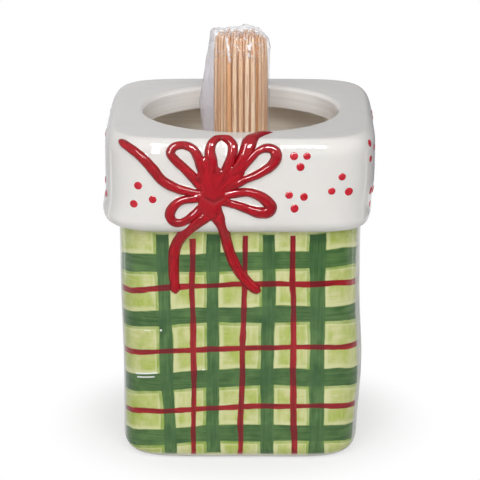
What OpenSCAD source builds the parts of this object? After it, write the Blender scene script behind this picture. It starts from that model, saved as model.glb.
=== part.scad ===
// Toothpick holder: a glazed ceramic gift box with a raised ribbon bow on its lid band,
// a round mouth in the top, and a clear bag of toothpicks standing in the mouth.
// The origin is the middle of the foot, on the table. +Z is up and the bow faces -Y.

/* [Box] */
// Height of the seam between the box and the lid band above the table
box_h = 43.1; // [30:0.5:80]
// Width across the flat sides at the foot
box_foot_w = 42.4; // [38:0.5:46]
// Width across the flat sides at the seam
box_seam_w = 43.3; // [40:0.5:60]
// Exponent of the box's plan: 2 is a circle, a high number is a sharp square
box_exponent = 6.4; // [4:0.1:9]
// Rounding of the bottom edge
foot_edge_r = 2.9; // [1:0.1:5]
// Depth of the hollow under the foot
foot_recess = 0.8; // [0.3:0.1:2]
// Width of the ring that the box stands on
foot_ring_w = 4.5; // [2:0.1:8]
// Thickness of the walls of the box and of the lid band
wall_t = 3.6; // [2:0.1:4.5]
// Thickness of the floor over the table
floor_t = 4.5; // [2.5:0.1:8]
// Rounding inside, where the floor meets the wall
hollow_r = 3.5; // [1:0.1:6]

/* [Lid] */
// Height of the lid band from the seam to the top
lid_h = 17.1; // [12:0.1:25]
// How far the lid band stands out over the box on each side
lid_overhang = 2.35; // [1:0.05:4]
// Exponent of the lid's plan
lid_exponent = 5.5; // [4:0.1:8]
// Height of the rounded underside of the overhang
under_h = 2.6; // [1:0.1:4]
// Rounding of the lid's top edge
top_edge_r = 1.8; // [0.8:0.1:3]
// Thickness of the top around the mouth
top_t = 4.6; // [3:0.1:8]
// Width of the round mouth
mouth_d = 35.2; // [26:0.2:36]
// Rounding of the mouth's upper edge
lip_r = 0.8; // [0.3:0.1:1.5]

/* [Bow] */
// Width of the ribbon line that draws the loops and streamers
line_w = 1.25; // [0.8:0.05:1.35]
// Height of that line over the glaze
line_h = 0.6; // [0.3:0.05:1.2]
// Width of the two tails
tail_w = 1.65; // [1:0.05:2]
// Height of the tails over the glaze
tail_h = 0.75; // [0.3:0.05:1.4]
// Height of the knot and its fan over the glaze
knot_h = 0.75; // [0.3:0.05:1.4]

/* [Dots] */
// Width of a painted dot
dot_d = 1.35; // [0.8:0.05:1.6]
// Height of a dot over the glaze
dot_h = 0.25; // [0.1:0.05:0.6]

/* [Toothpicks] */
// Length of a toothpick
pick_l = 65; // [60:0.5:80]
// Thickness of a toothpick
pick_d = 1.05; // [0.8:0.05:1.1]
// Length of the taper at each end
pick_taper_l = 5; // [2:0.5:12]
// Width of the tips
pick_tip_d = 0.5; // [0.1:0.05:0.7]
// Distance between the toothpicks in the bundle
pick_gap = 0.05; // [0.02:0.01:0.08]
// Largest radius of the bundle, to the middle of its outer toothpicks
bundle_r = 4.45; // [3:0.05:4.6]
// How much higher some of the toothpicks ride than others
pick_ride = 0.5; // [0:0.1:2]

/* [Bag] */
// Thickness of the bag's film with its creases
film_t = 0.25; // [0.1:0.05:0.4]
// Thickness of the folded film under the toothpicks
film_fold_t = 1.8; // [0.8:0.1:4]
// Room between the bundle and the film at the top
film_slack = 0.15; // [0.1:0.05:0.5]
// How much wider the bag is at the mouth and below, on each side
film_flare = 1.15; // [0:0.05:2]
// Height of the film over the highest tips
film_crest = 1.2; // [0.6:0.1:3]
// Radius of the small gap where the gathered film ends
film_vent_r = 0.5; // [0.2:0.1:1]
// How far the bag stands behind the middle of the mouth
bag_back = 6; // [2:0.1:8]
// Distance between the bag and the floor that it stands on
bag_seat_gap = 0.2; // [0.1:0.05:0.4]

/* [Hidden] */

// Distance that the raised work keeps from the glaze beneath it
relief_gap = 0.06;
// Distance between the knot and the ends of the lines that leave it
cut_gap = 0.03;

lid_half = box_seam_w / 2 + lid_overhang;
lid_in_half = lid_half - wall_t;
seam_half = box_seam_w / 2;
seam_in_half = seam_half - wall_t;
foot_half = box_foot_w / 2;
foot_in_half = foot_half - wall_t;
top_z = box_h + lid_h;
mouth_r = mouth_d / 2;
// The rounding under the top is limited by the room between the mouth and the inner wall
ceiling_r = min(hollow_r, (lid_in_half - mouth_r) * 0.6);

// Points round a ring, closer together towards the corners
quarter_points = 24;
ring_angles = [
    for (quarter = [0:3]) for (i = [0:quarter_points - 1])
        let (u = 2 * i / quarter_points - 1)
        90 * quarter + 45 * (1 + 0.45 * u + 0.55 * u * u * u)
];
ring_points = len(ring_angles);
curve_steps = 4;

// One ring of a squared circle, from its row of half width, exponent and height
function ring(row) = [
    for (angle = ring_angles)
        let (reach = row[0] / pow(pow(abs(cos(angle)), row[1]) + pow(abs(sin(angle)), row[1]),
                                  1 / row[1]))
        [reach * cos(angle), reach * sin(angle), row[2]]
];

// Triangles of a band between ring a and ring b
function band(a, b, count) = [
    for (i = [0:count - 1])
        let (next = (i + 1) % count)
        each [[a * count + i, b * count + i, b * count + next],
              [a * count + i, b * count + next, a * count + next]]
];

// Triangles from a middle point to ring a, seen from either side
function fan(middle, a, count) = [
    for (i = [0:count - 1]) [middle, a * count + i, a * count + (i + 1) % count]
];
function fan_back(middle, a, count) = [
    for (i = [0:count - 1]) [middle, a * count + (i + 1) % count, a * count + i]
];

function mixed(u, low, high) = low + (high - low) * u;

// Half width of the box at height z
function box_half(z) = mixed(z / box_h, foot_half, seam_half);

// The lid's underside turns from level at the seam, at 0 degrees, to upright at 90.
// Each row holds half width, exponent and height, from the half widths at either end.
function under_row(angle, low, high) =
    [mixed(sin(angle), low, high),
     mixed(1 - cos(angle), box_exponent, lid_exponent),
     box_h + under_h * (1 - cos(angle))];

// The lid's top edge turns from upright at 0 degrees to level at 90
function edge_row(angle) =
    [lid_half - top_edge_r * (1 - cos(angle)), lid_exponent,
     top_z - top_edge_r * (1 - sin(angle))];

// Ring of the outer surface at the place s up the skin from the seam. s follows the
// height, but the turn of the rounded top edge, and goes on inwards along the top.
edge_s = lid_h - top_edge_r;
edge_l = top_edge_r * PI / 2;
function skin_row(s) =
    s <= 0 ? [box_half(box_h + s), box_exponent, box_h + s]
    : s < under_h ? under_row(90 * s / under_h, seam_half, lid_half)
    : s < edge_s ? [lid_half, lid_exponent, box_h + s]
    : edge_row(min(90, 90 * (s - edge_s) / edge_l));

// Raised work leans down by this angle where it bridges the corner at the seam
bridge_angle = 45;
function lean_at(s) =
    s <= 0 ? -bridge_angle * max(0, 1 + s / under_h)
    : s < under_h ? -bridge_angle * (1 - s / under_h)
    : max(0, min(90, 90 * (s - edge_s) / edge_l));

// A place on the front skin: x across and s up the skin. lift stands out from the skin.
function skin(x, s, lift) =
    let (row = skin_row(s),
         across = min(abs(x) / row[0], 0.98),
         inward = pow(1 - pow(across, row[1]), 1 / row[1]),
         slope = [sign(x) * pow(across, row[1] - 1), pow(inward, row[1] - 1)],
         out = lift * cos(lean_at(s)) / norm(slope))
    [x + out * slope[0],
     -row[0] * inward + max(0, s - edge_s - edge_l) - out * slope[1],
     row[2] + lift * sin(lean_at(s))];

// Smooth curve through all the points of a route, whatever their number of values
function curve(route, steps) = [
    for (i = [0:len(route) - 2]) for (k = [0:steps - 1])
        let (t = k / steps,
             a = route[max(i - 1, 0)],
             b = route[i],
             c = route[i + 1],
             d = route[min(i + 2, len(route) - 1)])
        (2 * b + (c - a) * t + (2 * a - 5 * b + 4 * c - d) * t * t
         + (3 * b - 3 * c + d - a) * t * t * t) / 2,
    route[len(route) - 1]
];

// Edge of the knot and its fan, clockwise as seen from the front, and the middle that the
// mound rises from. x is a share of half the lid's width, and the place up from the seam
// is a share of the lid's height.
knot_shares = [
    [-0.36, 0.42], [-0.30, 0.485], [-0.345, 0.60], [-0.31, 0.68], [-0.305, 0.77],
    [-0.262, 0.82], [-0.185, 0.79], [-0.135, 0.68], [-0.09, 0.755], [-0.035, 0.77],
    [0.065, 0.81], [0.10, 0.755], [0.015, 0.63], [0, 0.545], [-0.055, 0.51],
    [-0.09, 0.46], [-0.07, 0.385], [-0.125, 0.30], [-0.12, 0.19], [-0.20, 0.15],
    [-0.285, 0.20], [-0.335, 0.27], [-0.305, 0.34]
];
knot_middle_shares = [-0.19, 0.47];

// Each line of the bow leaves the knot across the side between two of its corners, and a
// loop comes back across another. Between them the route's rows hold x and the place up
// from the seam, in the same shares, and the width as a share of the line's width.
loop_sides = [[[2, 3], [4, 5]], [[5, 6], [8, 9]], [[10, 11], [12, 13]],
              [[15, 16], [16, 17]], [[22, 0], [20, 21]]];
loop_shares = [
    // Top left
    [[-0.38, 0.74, 1], [-0.445, 0.80, 1], [-0.49, 0.87, 1.05], [-0.465, 0.93, 1],
     [-0.39, 0.94, 1], [-0.33, 0.885, 1.05]],
    // Top
    [[-0.22, 0.88, 1.1], [-0.19, 0.99, 1], [-0.13, 1.05, 0.9], [-0.07, 1.02, 1.1],
     [-0.048, 0.92, 1.15], [-0.055, 0.84, 1.1]],
    // Top right
    [[0.13, 0.87, 0.9], [0.18, 0.915, 1.1], [0.24, 0.92, 1.2], [0.27, 0.86, 1.2],
     [0.25, 0.77, 1.1], [0.17, 0.67, 1], [0.08, 0.61, 0.95]],
    // Right
    [[-0.01, 0.445, 0.9], [0.08, 0.43, 1], [0.18, 0.37, 1.2], [0.235, 0.30, 1.3],
     [0.22, 0.24, 1.3], [0.14, 0.23, 1.2], [0.03, 0.275, 1]],
    // Bottom left
    [[-0.40, 0.365, 0.85], [-0.455, 0.32, 0.9], [-0.495, 0.25, 1.1], [-0.495, 0.17, 1.1],
     [-0.455, 0.13, 1], [-0.39, 0.165, 1]]
];
streamer_left_side = [0, 1];
streamer_left_shares = [
    [-0.46, 0.50, 1.1], [-0.56, 0.58, 1.2], [-0.63, 0.70, 1.2], [-0.71, 0.82, 1.15],
    [-0.79, 0.90, 1.1], [-0.85, 0.945, 0.9], [-0.872, 0.96, 0.5]
];
streamer_top_side = [9, 10];
streamer_top_shares = [
    [0.045, 0.93, 1.2], [0.08, 1.06, 1.3], [0.14, 1.18, 0.9], [0.21, 1.27, 0.3]
];
tail_sides = [[19, 20], [18, 19]];
tail_shares = [
    // Left
    [[-0.35, 0.06, 1], [-0.43, -0.06, 1], [-0.475, -0.20, 1], [-0.483, -0.40, 0.95],
     [-0.475, -0.60, 0.8], [-0.47, -0.65, 0.3]],
    // Right
    [[-0.13, 0.04, 0.9], [-0.11, -0.06, 0.9], [-0.08, -0.22, 0.9], [-0.03, -0.40, 0.9],
     [0.05, -0.55, 0.95], [0.12, -0.63, 0.8], [0.14, -0.64, 0.3]]
];

// Threes of dots. Each row holds x and the place up from the seam, in the same shares,
// the spread of the three as a share of half the lid's width, and the turn in degrees.
front_dot_shares = [
    [0.44, 0.80, 0.054, 180], [0.41, 0.375, 0.063, 187], [0.735, 0.505, 0.073, 6],
    [-0.71, 0.40, 0.083, -17]
];
right_dot_shares = [
    [-0.675, 0.31, 0.07, -50], [-0.73, 0.81, 0.07, -30], [-0.18, 0.53, 0.08, -12],
    [0.22, 0.80, 0.06, 170], [0.30, 0.34, 0.07, 8], [0.72, 0.60, 0.075, 190]
];
left_dot_shares = [
    [0.60, 0.33, 0.07, 100], [0.30, 0.78, 0.06, 176], [0.02, 0.42, 0.08, 10],
    [-0.30, 0.77, 0.065, 188], [-0.42, 0.33, 0.07, -5], [-0.75, 0.58, 0.075, 172]
];
back_dot_shares = [
    [0.68, 0.72, 0.07, 185], [0.60, 0.30, 0.075, 12], [0.16, 0.56, 0.08, 170],
    [-0.20, 0.82, 0.06, -10], [-0.28, 0.32, 0.07, 178], [-0.70, 0.50, 0.08, 6]
];

loop_names = ["bow_loop_top_left", "bow_loop_top", "bow_loop_top_right", "bow_loop_right",
              "bow_loop_bottom_left"];
tail_names = ["bow_tail_left", "bow_tail_right"];
dot_names = ["front_dots", "right_dots", "left_dots", "back_dots"];

// The bundle is packed in rows across, each half a step aside from the next
pick_step = pick_d + pick_gap;
row_step = pick_step * sin(60);
side_rows = floor(bundle_r / row_step);
row_count = 2 * side_rows + 1;
pick_row_names = [for (i = [0:row_count - 1]) str("toothpick_row_", i + 1)];

module box_shell() {
    ring_in_half = foot_half - foot_edge_r - foot_ring_w;
    floor_half = mixed((floor_t + hollow_r) / box_h, foot_in_half, seam_in_half);
    rows = concat(
        [[ring_in_half - foot_recess, box_exponent, foot_recess],
         [ring_in_half, box_exponent, 0]],
        [for (i = [0:curve_steps])
            let (angle = 90 * i / curve_steps,
                 z = foot_edge_r * (1 - cos(angle)))
            [box_half(foot_edge_r) - foot_edge_r * (1 - sin(angle)), box_exponent, z]],
        [[seam_half, box_exponent, box_h],
         [seam_in_half, box_exponent, box_h]],
        [for (i = [0:curve_steps])
            let (angle = 90 * i / curve_steps)
            [floor_half - hollow_r * (1 - cos(angle)), box_exponent,
             floor_t + hollow_r * (1 - sin(angle))]]
    );
    count = len(rows);
    points = concat([for (row = rows) each ring(row)],
                    [[0, 0, foot_recess], [0, 0, floor_t]]);
    under_middle = count * ring_points;
    color([0.80, 0.84, 0.60])
    polyhedron(points = points,
               faces = concat(fan(under_middle, 0, ring_points),
                              [for (i = [0:count - 2]) each band(i, i + 1, ring_points)],
                              fan_back(under_middle + 1, count - 1, ring_points)));
}

module lid_shell() {
    under_steps = 5;
    rows = concat(
        [for (i = [0:under_steps]) under_row(90 * i / under_steps, seam_half, lid_half)],
        [for (i = [0:curve_steps]) edge_row(90 * i / curve_steps)],
        [for (i = [0:curve_steps])
            let (angle = 90 * i / curve_steps)
            [mouth_r + lip_r * (1 - sin(angle)), 2, top_z - lip_r * (1 - cos(angle))]],
        [for (i = [0:curve_steps])
            let (angle = 90 * i / curve_steps)
            [mouth_r + ceiling_r * 0.25 * (1 - cos(angle)), 2,
             top_z - top_t + ceiling_r * 0.25 * (1 - sin(angle))]],
        [for (i = [0:curve_steps])
            let (angle = 90 * i / curve_steps)
            [lid_in_half - ceiling_r * (1 - sin(angle)), lid_exponent,
             top_z - top_t - ceiling_r * (1 - cos(angle))]],
        [for (i = [under_steps:-1:0])
            under_row(90 * i / under_steps, seam_in_half, lid_in_half)]
    );
    count = len(rows);
    points = [for (row = rows) each ring(row)];
    color([0.90, 0.89, 0.87])
    polyhedron(points = points,
               faces = [for (i = [0:count - 1]) each band(i, (i + 1) % count, ring_points)]);
}

// A corner of the knot in millimetres across and up the skin
function knot_corner(index) = [knot_shares[index][0] * lid_half, knot_shares[index][1] * lid_h];

// Row of a route at the middle of one side of the knot, just off its edge
function side_row(side) =
    let (a = knot_corner(side[0]), b = knot_corner(side[1]), along = (b - a) / norm(b - a))
    [(a[0] + b[0]) / 2 - along[1] * cut_gap, (a[1] + b[1]) / 2 + along[0] * cut_gap, 1];

// Half of that side, a little short of the corners that it shares with its neighbours
function side_reach(side) = (knot_corner(side[1]) - knot_corner(side[0])) / 2 * 0.92;

// One raised line, w wide and h high, that leaves the knot at one side and follows the
// route to its end, or back to the knot at another side. Each section is half round, with
// one more point in the middle of its back, which follows the skin. It turns from the
// knot's side to square across the route, and a line round the underside has more steps.
module bow_line(sides, route, w, h, steps = 3) {
    arc_steps = 5;
    around = arc_steps + 2;
    to_knot = len(sides) > 1;
    rows = concat(
        [side_row(sides[0])],
        [for (row = route) [row[0] * lid_half, row[1] * lid_h, row[2]]],
        to_knot ? [side_row(sides[1])] : []
    );
    path = curve(rows, steps);
    last = len(path) - 1;
    turn_steps = 1.5 * steps;
    points = [
        for (i = [0:last])
            let (ahead = path[min(i + 1, last)],
                 behind = path[max(i - 1, 0)],
                 along = [ahead[0] - behind[0], ahead[1] - behind[1]],
                 share = path[i][2],
                 square = [along[1], -along[0]] / norm(along) * w * share / 2,
                 leaving = max(0, 1 - i / turn_steps),
                 coming = to_knot ? max(0, 1 - (last - i) / turn_steps) : 0,
                 reach = square * (1 - leaving - coming)
                         + side_reach(sides[0]) * leaving
                         - (to_knot ? side_reach(sides[1]) * coming : [0, 0]))
            for (k = [0:around - 1])
                let (angle = 180 * k / arc_steps,
                     off = k > arc_steps ? 0 : cos(angle),
                     rise = k > arc_steps ? 0 : h * min(share, 1) * sin(angle))
                skin(path[i][0] + reach[0] * off, path[i][1] + reach[1] * off,
                     relief_gap + rise)
    ];
    // Each end is closed by triangles from the middle of its back
    back = arc_steps + 1;
    start_cap = [for (k = [0:arc_steps - 1]) [back, k + 1, k]];
    end_cap = [for (k = [0:arc_steps - 1])
        [last * around + back, last * around + k, last * around + k + 1]];
    polyhedron(points = points,
               faces = concat(start_cap,
                              [for (i = [0:last - 1]) each band(i + 1, i, around)],
                              end_cap));
}

module bow_loop(index) {
    color([0.75, 0.12, 0.19])
    bow_line(loop_sides[index], loop_shares[index], line_w, line_h);
}

module bow_streamer_left() {
    color([0.75, 0.12, 0.19])
    bow_line([streamer_left_side], streamer_left_shares, line_w, line_h);
}

module bow_streamer_top() {
    color([0.75, 0.12, 0.19])
    bow_line([streamer_top_side], streamer_top_shares, line_w, line_h, steps = 5);
}

module bow_tail(index) {
    color([0.72, 0.14, 0.20])
    bow_line([tail_sides[index]], tail_shares[index], tail_w, tail_h, steps = 7);
}

// The knot with its fan is one low mound, from the middle out to its edge
module bow_knot() {
    // Place from the middle to the edge, and height there, as shares
    mound_shares = [[0.35, 1], [0.7, 0.95], [0.9, 0.8], [1, 0.55], [1, 0]];
    back_shares = [0.7, 0.35];
    count = len(knot_shares);
    function mound_ring(reach, lift) = [for (row = knot_shares)
        skin(mixed(reach, knot_middle_shares[0], row[0]) * lid_half,
             mixed(reach, knot_middle_shares[1], row[1]) * lid_h, lift)];
    rings = concat(
        [for (row = mound_shares) mound_ring(row[0], relief_gap + knot_h * row[1])],
        [for (reach = back_shares) mound_ring(reach, relief_gap)]
    );
    middle = [knot_middle_shares[0] * lid_half, knot_middle_shares[1] * lid_h];
    points = concat([for (row = rings) each row],
                    [skin(middle[0], middle[1], relief_gap + knot_h),
                     skin(middle[0], middle[1], relief_gap)]);
    top_point = len(rings) * count;
    color([0.72, 0.11, 0.17])
    polyhedron(points = points,
               faces = concat(fan(top_point, 0, count),
                              [for (i = [0:len(rings) - 2]) each band(i, i + 1, count)],
                              fan_back(top_point + 1, len(rings) - 1, count)));
}

// A low dome with a flat back, on the front skin at x and s
module dot(x, s) {
    at = skin(x, s, relief_gap);
    out = skin(x, s, relief_gap + dot_h) - at;
    dome_r = (dot_d * dot_d / 4 + dot_h * dot_h) / (2 * dot_h);
    dome_angle = asin(dot_d / 2 / dome_r);
    translate(at)
    rotate([0, 0, atan2(out[0], -out[1])])
    rotate([90, 0, 0])
    rotate_extrude($fn = 48)
    polygon(concat([[0, 0]],
                   [for (i = [curve_steps:-1:0])
                       let (angle = dome_angle * i / curve_steps)
                       [dome_r * sin(angle), dome_r * (cos(angle) - cos(dome_angle))]]));
}

module dots(rows, face_turn) {
    color([0.78, 0.10, 0.17])
    rotate([0, 0, face_turn])
    for (row = rows) for (k = [0:2])
        dot((row[0] + row[2] * sin(row[3] + 120 * k)) * lid_half,
            row[1] * lid_h + row[2] * cos(row[3] + 120 * k) * lid_half);
}

// The bag is a thin skin round the bundle, gathered to a small gap at the top
bag_z = floor_t + bag_seat_gap;
pick_z = bag_z + film_fold_t;
bag_top_r = bundle_r + pick_d / 2 + film_slack + film_t;
bag_low_r = bag_top_r + film_flare;
tips_z = pick_z + pick_l + pick_ride;
bag_corner_r = film_crest * 0.8;

module film_bag() {
    flare_z = mixed(0.8, bag_z, top_z);
    outside = concat(
        [[0, bag_z], [bag_low_r - film_fold_t / 2, bag_z], [bag_low_r, bag_z + film_fold_t / 2],
         [bag_low_r, flare_z]],
        [for (i = [0:curve_steps])
            let (angle = 90 * i / curve_steps)
            [bag_top_r - bag_corner_r * (1 - cos(angle)),
             tips_z + film_t + bag_corner_r * sin(angle)]],
        [[film_vent_r, tips_z + film_t + film_crest]]
    );
    inside = concat(
        [[film_vent_r, tips_z + film_crest]],
        [for (i = [curve_steps:-1:0])
            let (angle = 90 * i / curve_steps)
            [bag_top_r - film_t - bag_corner_r * (1 - cos(angle)),
             tips_z + bag_corner_r * sin(angle)]],
        [[bag_low_r - film_t, flare_z], [bag_low_r - film_t, bag_z + film_fold_t - film_t / 2],
         [0, bag_z + film_fold_t - film_t / 2]]
    );
    color([0.82, 0.84, 0.88, 0.35])
    translate([0, bag_back, 0])
    rotate_extrude($fn = 64)
    polygon(concat(outside, inside));
}

module toothpick() {
    rotate_extrude($fn = 24)
    polygon([[0, 0], [pick_tip_d / 2, 0], [pick_d / 2, pick_taper_l],
             [pick_d / 2, pick_l - pick_taper_l], [pick_tip_d / 2, pick_l], [0, pick_l]]);
}

module toothpick_row(index) {
    row = index - side_rows;
    y = row * row_step;
    aside = abs(row) % 2 / 2;
    reach = sqrt(bundle_r * bundle_r - y * y);
    picks_right = floor(reach / pick_step - aside);
    color([0.87, 0.70, 0.52])
    for (i = [-picks_right - 2 * aside:picks_right])
        let (ride = abs(sin(137 * i + 89 * row)) * pick_ride)
        translate([(i + aside) * pick_step, bag_back + y, pick_z + ride])
        toothpick();
}

box_shell();
lid_shell();
bow_knot();
bow_streamer_left();
bow_streamer_top();
for (i = [0:len(loop_names) - 1])
    bow_loop(i);
for (i = [0:len(tail_names) - 1])
    bow_tail(i);
dots(front_dot_shares, 0);  // front_dots
dots(right_dot_shares, 90);  // right_dots
dots(back_dot_shares, 180);  // back_dots
dots(left_dot_shares, 270);  // left_dots
film_bag();
for (i = [0:row_count - 1])
    toothpick_row(i);
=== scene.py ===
# %% [markdown]
# # A toothpick holder shaped like a wrapped gift box
#
# A squared ceramic box with a wider lid band, a raised red bow on its front, painted
# plaid on the box, and a clear bag of toothpicks standing in the round mouth. The fixed
# frame is the measured model of the same object. Every piece here is made in that frame,
# in metres, and takes the place of one of its plain solids.

# %% Load the frame
import math
import random

import bmesh
import bpy
from mathutils import Matrix, Vector, noise


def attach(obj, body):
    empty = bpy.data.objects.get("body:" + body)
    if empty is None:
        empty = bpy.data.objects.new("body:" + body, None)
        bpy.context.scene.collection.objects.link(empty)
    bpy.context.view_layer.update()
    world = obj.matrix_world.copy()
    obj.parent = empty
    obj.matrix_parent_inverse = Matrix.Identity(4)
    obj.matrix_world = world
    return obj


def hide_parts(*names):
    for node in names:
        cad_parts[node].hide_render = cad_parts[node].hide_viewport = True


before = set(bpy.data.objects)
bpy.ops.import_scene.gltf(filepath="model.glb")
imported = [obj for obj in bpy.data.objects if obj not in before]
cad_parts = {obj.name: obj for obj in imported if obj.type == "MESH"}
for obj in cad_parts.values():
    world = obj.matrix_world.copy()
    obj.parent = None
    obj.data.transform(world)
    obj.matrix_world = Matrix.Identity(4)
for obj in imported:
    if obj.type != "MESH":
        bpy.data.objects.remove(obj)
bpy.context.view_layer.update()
mm = 0.001

# %% [markdown]
# ## The camera
#
# The photograph was taken from a little above with a long lens, so the sides of the box
# stay nearly parallel. The place and the lens were worked out from the outline of the
# box, the seam and the round mouth. It is made first, because all that follows is judged
# through it.

# %% Camera
camera = bpy.data.objects.new("camera", bpy.data.cameras.new("camera"))
bpy.context.scene.collection.objects.link(camera)
camera.location = (0.0041867, -0.478654, 0.178486)
camera.rotation_euler = (math.pi / 2 - 0.291049, 0, 0.009001)
camera.data.lens = 204.06
camera.data.sensor_width = 36
camera.data.clip_start = 0.01
camera.data.clip_end = 20
bpy.context.scene.camera = camera
print("camera stands", round(camera.location.length / mm), "mm away")

# %% [markdown]
# ## Sizes
#
# The pieces have to sit exactly where the solids are, so their main sizes are the same
# numbers, in millimetres. `mm` turns them into metres at the last moment.

# %% Sizes of the box, the lid and the bow
box_h = 43.1
foot_half = 21.2
seam_half = 21.65
box_squareness = 6.4
lid_h = 17.1
lid_half = 24.0
lid_squareness = 5.5
under_h = 2.6
top_z = box_h + lid_h
top_edge_r = 1.6
top_t = 4.3
mouth_r = 17.6
wall_t = 3.6
edge_rise = 3.2
edge_s = lid_h - edge_rise
edge_end = lid_h + (math.pi / 2 - 1) * top_edge_r


def mixed(share, low, high):
    return low + (high - low) * share


print("the top is", top_z, "mm above the table")

# %% [markdown]
# ## Turning on a wheel, then squaring
#
# The box and the lid band are cast in plaster moulds, and their shape is a circle that
# was pushed out towards the corners, a squared circle. That is also the shortest way to
# model it: draw half of the section as a few points, spin it round the middle with
# `bmesh.ops.spin`, and then push every point outwards until its circle is square. Each
# point of the section carries its own squareness on a float layer, so the round mouth
# (exponent 2) and the squared wall (exponent 5.5) can be parts of one skin. A cast pot is
# never quite true. Its walls wander a little, the box leans to the right, and the band's
# foot lies a little to the left.

# %% Helper that spins a section and squares it
def crowded(turn):
    """Moves the steps of a full turn closer together at the four corners. Over a quarter
    u runs from -1 to 1, and its cube is flat in the middle, where the corner is."""
    quarter, share = divmod(turn / (math.pi / 2), 1)
    u = 2 * share - 1
    return (quarter + (1 + 0.45 * u + 0.55 * u ** 3) / 2) * math.pi / 2


def squared_reach(turn, exponent):
    """How far a squared circle of half width 1 reaches in a direction."""
    c, s = abs(math.cos(turn)), abs(math.sin(turn))
    return (c ** exponent + s ** exponent) ** (-1 / exponent)


def finish_mesh(shape, name, smooth=True):
    """Makes an object at the origin from a bmesh."""
    mesh = bpy.data.meshes.new(name)
    if smooth:
        for face in shape.faces:
            face.smooth = True
    shape.to_mesh(mesh)
    shape.free()
    piece = bpy.data.objects.new(name, mesh)
    bpy.context.scene.collection.objects.link(piece)
    print(name, len(mesh.polygons), "faces")
    return piece


def squared_skin(rows, closed, steps=192):
    """Spins rows of half width, exponent and height, and squares the result."""
    skin = bmesh.new()
    squareness = skin.verts.layers.float.new("squareness")
    points = []
    for half, exponent, height in rows:
        point = skin.verts.new((half, 0, height))
        point[squareness] = exponent
        points.append(point)
    ends = points[1:] + (points[:1] if closed else [])
    for a, b in zip(points, ends):
        skin.edges.new((a, b))
    bmesh.ops.spin(skin, geom=skin.verts[:] + skin.edges[:], cent=(0, 0, 0),
                   axis=(0, 0, 1), angle=2 * math.pi, steps=steps, use_merge=True)
    bmesh.ops.remove_doubles(skin, verts=skin.verts, dist=0.0001)
    for point in skin.verts:
        reach = math.hypot(point.co.x, point.co.y)
        turn = crowded(math.atan2(point.co.y, point.co.x) % (2 * math.pi))
        reach *= squared_reach(turn, point[squareness])
        point.co.x, point.co.y = reach * math.cos(turn), reach * math.sin(turn)
    bmesh.ops.recalc_face_normals(skin, faces=skin.faces)
    return skin


def hand_made(skin, amount, size):
    """Lets a cast wall wander a little, as it does when it dries and fires."""
    skin.normal_update()
    moves = [(point, point.normal * amount * noise.noise(point.co / size))
             for point in skin.verts]
    for point, move in moves:
        point.co += move


# For the right and the left side: the push to the right, the height where it is largest,
# and how far up and down it reaches.
box_pushes = (0.75, 16, 9), (0.2, 16, 9)
band_pushes = (-0.55, 46.2, 2.8), (-0.6, 44.7, 1.9)
pushed_x = 20


def out_of_true(skin):
    """Pushes the sides by the table above, and leaves the middle and the seam alone."""
    for point in skin.verts:
        x, z = point.co.x, point.co.z
        right, left = box_pushes if z < box_h else band_pushes
        push, middle_z, reach = right if x > 0 else left
        free = 1 if z < box_h else min(1, z - box_h)
        share = min(1, abs(x) / pushed_x) ** 2 * free
        point.co.x += share * push * math.exp(-((z - middle_z) / reach) ** 2)


def scaled(skin):
    """Turns millimetres into metres."""
    bmesh.ops.scale(skin, vec=(mm, mm, mm), verts=skin.verts)
    return skin


def next_row(shape, edges, order):
    """Extrudes a row of edges, and returns the new points in their order."""
    made = bmesh.ops.extrude_edge_only(shape, edges=edges)
    points = [item for item in made["geom"] if isinstance(item, bmesh.types.BMVert)]
    return sorted(points, key=order)


def ring_edges(shape, ring):
    return [shape.edges.get(pair) for pair in zip(ring, ring[1:] + ring[:1])]


# %% [markdown]
# ## The lid band
#
# The band stands out over the box with a rounded underside, has a soft top edge, and
# turns in to the thick round mouth. Inside it is hollow. The section is one closed loop,
# so the wall has its real thickness. Rounded corners get ten points or more, because a
# glossy glaze shows every facet in its reflections. The top edge is a tall quarter of an
# ellipse: thick glaze runs a little on a cast edge, and a plain round one looks machined.

# %% Section of the lid band
def under_row(turn, low, high):
    share = 1 - math.cos(turn)
    return (mixed(math.sin(turn), low, high),
            mixed(share, box_squareness, lid_squareness), box_h + under_h * share)


def quarter_turns(count):
    return [math.pi / 2 * i / count for i in range(count + 1)]


def edge_row(turn):
    return (lid_half - top_edge_r * (1 - math.cos(turn)), lid_squareness,
            top_z - edge_rise * (1 - math.sin(turn)))


lip_r = 0.8
ceiling_r = 1.68
wall_wander = 0.07
lid_in_half = lid_half - wall_t
lid_rows = [under_row(turn, seam_half, lid_half) for turn in quarter_turns(12)]
lid_rows += [(lid_half, lid_squareness, mixed(i / 5, box_h + under_h, top_z - edge_rise))
             for i in range(1, 5)]
lid_rows += [edge_row(turn) for turn in quarter_turns(16)]
lid_rows += [(mixed(share, lid_half - top_edge_r, mouth_r + lip_r),
              mixed(share ** 2, lid_squareness, 2), top_z) for share in (0.25, 0.5, 0.75)]
lid_rows += [(mouth_r + lip_r * (1 - math.sin(turn)), 2,
              top_z - lip_r * (1 - math.cos(turn))) for turn in quarter_turns(8)]
lid_rows += [(mouth_r + ceiling_r / 4 * (1 - math.cos(turn)), 2,
              top_z - top_t + ceiling_r / 4 * (1 - math.sin(turn)))
             for turn in quarter_turns(4)]
lid_rows += [(lid_in_half - ceiling_r * (1 - math.sin(turn)), lid_squareness,
              top_z - top_t - ceiling_r * (1 - math.cos(turn))) for turn in quarter_turns(4)]
lid_rows += [under_row(turn, seam_half - wall_t, lid_in_half)
             for turn in reversed(quarter_turns(5))]

lid_skin = squared_skin(lid_rows, closed=True)
hand_made(lid_skin, wall_wander, 11)
out_of_true(lid_skin)
lid_band = finish_mesh(scaled(lid_skin), "lid_band")
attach(lid_band, "holder")
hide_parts("lid_shell")

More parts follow.
